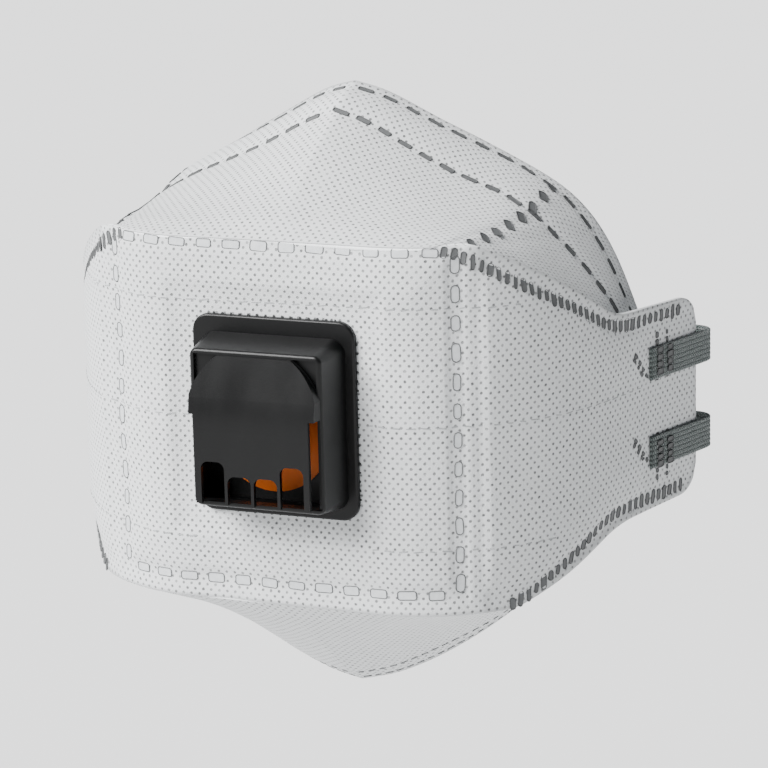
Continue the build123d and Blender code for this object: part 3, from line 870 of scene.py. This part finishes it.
strapSizes = {
    "width": 7.0, "thick": 1.1, "length": 0.241, "weldBack": 18.0, "pastTab": 5.6, "turn": 2.9,
    "near": 5.8, "ribs": 7, "heights": {"upper": 9.7, "lower": -9.5}, "pressed": 9.0,
    "inner": [(56.6, 0.5), (49.2, -15.0), (37.0, -30.0), (19.0, -38.5), (0.0, -41.5)],
}


# The strap's route, right to left: weld, turn behind the tab, and across the cup.
def strapRoute(z):
    look = strapSizes
    x, y, (alongX, alongY) = planPoint(tabRun)
    end, along = Vector((x, y)), Vector((alongX, alongY))
    outwards = Vector((along.y, -along.x))
    start = end - along * look["weldBack"] + outwards * (look["thick"] / 2)
    turnOut = end + along * look["pastTab"] + outwards * (look["thick"] / 2)
    turnIn = turnOut - outwards * (2 * look["turn"])
    first = Vector(look["inner"][0])
    toward = (first - turnIn).normalized()
    right = [start, turnOut - along * look["near"], turnOut, turnIn, turnIn + toward * look["near"]]
    right += [Vector(point) for point in look["inner"]]
    points = right + [Vector((-p.x, p.y)) for p in reversed(right[:-1])]
    return [Vector((p.x, p.y, z)) * mm for p in points]


def smoothPath(name, route):
    curve = bpy.data.curves.new(name + "Route", "CURVE")
    curve.dimensions, curve.resolution_u = "3D", 14
    spline = curve.splines.new("NURBS")
    spline.points.add(len(route) - 1)
    for point, place in zip(spline.points, route):
        point.co = (*place, 1)
    spline.order_u, spline.use_endpoint_u = 3, True
    line = bpy.data.objects.new(name + "Route", curve)
    bpy.context.scene.collection.objects.link(line)
    shown = line.evaluated_get(bpy.context.evaluated_depsgraph_get())
    read = bpy.data.meshes.new_from_object(shown)
    path = [vertex.co.copy() for vertex in read.vertices]
    bpy.data.objects.remove(line)
    return path


def makeStrap(key, z):
    look = strapSizes
    name = key + "HeadStrap"
    path = smoothPath(name, strapRoute(z))
    mesh = bmesh.new()
    layer = mesh.verts.layers.float_vector.new("strapPlace")
    rings, run, total = [], 0.0, sum((b - a).length for a, b in zip(path, path[1:]))
    steps = look["ribs"] * 4
    for i, centre in enumerate(path):
        if i:
            run += (centre - path[i - 1]).length
        tangent = (path[min(i + 1, len(path) - 1)] - path[max(i - 1, 0)]).normalized()
        normal = tangent.cross(Vector((0, 0, 1)))
        fromEnd = min(run, total - run) / mm
        pressed = 0.55 + 0.45 * max(0.0, min(1.0, (fromEnd - look["pressed"] + 1.5) / 3.0))
        ring = []
        for face in (1, -1):
            for j in range(steps + 1):
                share = j / steps if face > 0 else 1 - j / steps
                across = (share - 0.5) * look["width"]
                rib = abs(math.sin(share * look["ribs"] * math.pi))
                hem = min(1.0, (look["width"] / 2 - abs(across)) / 0.35 + 0.45)
                half = look["thick"] / 2 * (0.78 + 0.22 * rib * pressed) * hem * pressed
                side = normal * (half * face * mm)
                vert = mesh.verts.new(centre + Vector((0, 0, across * mm)) + side)
                vert[layer] = (run / mm, share, face)
                ring.append(vert)
        rings.append(ring)
    count = len(rings[0])
    for one, two in zip(rings, rings[1:]):
        for j in range(count):
            k = (j + 1) % count
            mesh.faces.new((one[j], one[k], two[k], two[j])).smooth = True
    mesh.faces.new(list(reversed(rings[0])))
    mesh.faces.new(rings[-1])
    bmesh.ops.recalc_face_normals(mesh, faces=mesh.faces)
    data = bpy.data.meshes.new(name)
    mesh.to_mesh(data)
    mesh.free()
    piece = bpy.data.objects.new(name, data)
    bpy.context.scene.collection.objects.link(piece)
    data.materials.append(finishes["braid"])
    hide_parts(key + "_head_strap")
    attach(piece, bodyName)


for key, z in strapSizes["heights"].items():
    makeStrap(key, z)

# Horn marks of the strap welds: on the braid and, smaller, on the tab beside it.
strapWelds = {"runs": (94.2, 97.9), "pitch": 1.55, "reach": 17.0}
onBraid, onTab = [], []
for run in strapWelds["runs"]:
    for i in range(-10, 11):
        for side in (-1, 1):
            height = i * strapWelds["pitch"]
            above = min(abs(height - z) for z in strapSizes["heights"].values())
            if above < 3.1:
                onBraid.append(centreSpot(side * run, height, 90.0, 0.95))
            elif abs(height) > 5.5 and abs(height) < strapWelds["reach"]:
                onTab.append(centreSpot(side * run, height, 90.0))
for side in (-1, 1):
    for middle in (11.0, -7.2):
        for k in range(7):
            run, height = 85.6 + 0.75 * k - (k % 2) * 1.3, middle + 1.6 - 0.85 * k
            onTab.append(centreSpot(side * run, height, side * -40.0))
markPiece("strapWelds", onBraid, 1.15, 1.9, 0.25, 0.12, ("weldDarkMeltAndDentShade", "weldDarkMeltAndDentShade"), wander=0.15)
markPiece("tabWelds", onTab, 1.0, 0.8, 0.2, 0.1, ("weldDarkMeltAndDentShade", "weldMeltAndDentShade"), wander=0.25)
print("straps made")


noseFoam = {
    "thick": 3.2, "from": 1.5, "width": 11.0, "halfLength": 52.0, "gap": 0.1, "round": 0.9, "step": 1.4,
}


def makeFoam():
    look = noseFoam
    last = look["halfLength"] / topPanel.ridgeOnEdge * topPanel.ridge
    count = int(last / look["step"])
    runs = [last * i / count for i in range(-count, count + 1)]
    mesh = bmesh.new()
    rings = []
    for run in runs:
        foot, head, _ = topPanel.strip(abs(run))
        length = np.linalg.norm(head - foot)
        fromTip = (last - abs(run)) / last * look["halfLength"]
        taper = math.sqrt(max(0.02, 1 - max(0.0, 1 - fromTip / look["round"]) ** 2))
        ring = []
        for i in range(20):
            angle = 2 * math.pi * i / 20
            wide = math.copysign(abs(math.cos(angle)) ** 0.35, math.cos(angle))
            deep = math.copysign(abs(math.sin(angle)) ** 0.35, math.sin(angle))
            inset = look["from"] + look["width"] * (0.5 + 0.49 * wide * taper)
            depth = maskSizes["laminate"] + look["gap"] + look["thick"] * (0.5 + 0.49 * deep * taper)
            place, normal = topPanel.point(run, 1 - inset / length, depth)
            lump = noise.noise(Vector(place) * 0.35) * 0.12
            ring.append(mesh.verts.new(Vector(place - normal * lump) * mm))
        rings.append(ring)
    for one, two in zip(rings, rings[1:]):
        for j in range(20):
            mesh.faces.new((one[j], one[(j + 1) % 20], two[(j + 1) % 20], two[j])).smooth = True
    mesh.faces.new(list(reversed(rings[0])))
    mesh.faces.new(rings[-1])
    bmesh.ops.recalc_face_normals(mesh, faces=mesh.faces)
    data = bpy.data.meshes.new("noseFoamPad")
    mesh.to_mesh(data)
    mesh.free()
    piece = bpy.data.objects.new("noseFoamPad", data)
    bpy.context.scene.collection.objects.link(piece)
    data.materials.append(finishes["foam"])
    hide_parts("nose_foam")
    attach(piece, bodyName)


makeFoam()
print("nose foam made")


view = {
    "azimuth": 0.37966, "elevation": 0.2484, "roll": 0.02416, "distance": 661.71, "lens": 152.12,
    "across": 21.805, "up": 15.936, "frameShift": (0.0, -57.0, -4.0),
}


def makeCamera():
    a, e, roll = view["azimuth"], view["elevation"], view["roll"]
    right = Vector((math.cos(a), math.sin(a), 0))
    up = Vector((-math.sin(a) * math.sin(e), math.cos(a) * math.sin(e), math.cos(e)))
    back = Vector((math.sin(a) * math.cos(e), -math.cos(a) * math.cos(e), math.sin(e)))
    place = right * view["across"] + up * view["up"] + back * view["distance"] + Vector(view["frameShift"])
    turnedRight = right * math.cos(roll) - up * math.sin(roll)
    turnedUp = right * math.sin(roll) + up * math.cos(roll)
    data = bpy.data.cameras.new("camera")
    data.lens, data.sensor_width, data.clip_start = view["lens"], 36.0, 0.01
    camera = bpy.data.objects.new("camera", data)
    rows = [[turnedRight[i], turnedUp[i], back[i], place[i] * mm] for i in range(3)]
    camera.matrix_world = Matrix(rows + [[0, 0, 0, 1]])
    bpy.context.scene.collection.objects.link(camera)
    bpy.context.scene.camera = camera


makeCamera()

studio = {
    "floorZ": -0.3, "floorSize": 8.0, "air": 0.16,
    "key": {"from": (-0.5, -0.56, 0.66), "strength": 12.5, "angle": 42.0},
    "fill": {"from": (0.9, -0.35, 0.1), "strength": 0.1, "angle": 60.0},
}


def makeStudio():
    mesh = bmesh.new()
    bmesh.ops.create_grid(mesh, x_segments=2, y_segments=2, size=studio["floorSize"])
    data = bpy.data.meshes.new("floor")
    mesh.to_mesh(data)
    mesh.free()
    for vertex in data.vertices:
        vertex.co.z = studio["floorZ"]
    floor = bpy.data.objects.new("floor", data)
    bpy.context.scene.collection.objects.link(floor)
    paper = Finish("floorPaper", Roughness=0.95, Specular_IOR_Level=0.1)
    paper.set(Base_Color=paper.blend(paper.cloud(paper.place(), 3.0), grey(0.74), grey(0.76)))
    data.materials.append(paper.material)
    for name in ("key", "fill"):
        look = studio[name]
        light = bpy.data.lights.new(name, "SUN")
        light.angle, light.energy = math.radians(look["angle"]), look["strength"]
        lamp = bpy.data.objects.new(name, light)
        lamp.rotation_euler = Vector(look["from"]).to_track_quat("Z", "Y").to_euler()
        lamp.location = Vector(look["from"])
        bpy.context.scene.collection.objects.link(lamp)
    world = bpy.data.worlds.new("studioAir")
    world.use_nodes = True
    world.node_tree.nodes["Background"].inputs["Color"].default_value = (0.84, 0.93, 1.0, 1)
    world.node_tree.nodes["Background"].inputs["Strength"].default_value = studio["air"]
    bpy.context.scene.world = world


makeStudio()
print("camera and studio set")


for node, finish in (
    ("valve_seat", "plastic"), ("valve_cover", "plastic"), ("valve_backing_ring", "plastic"),
    ("membrane_clamp_bar", "plastic"), ("valve_membrane", "silicone"), ("nose_clip", "metal"),
):
    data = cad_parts[node].data
    data.materials.clear()
    data.materials.append(finishes[finish])
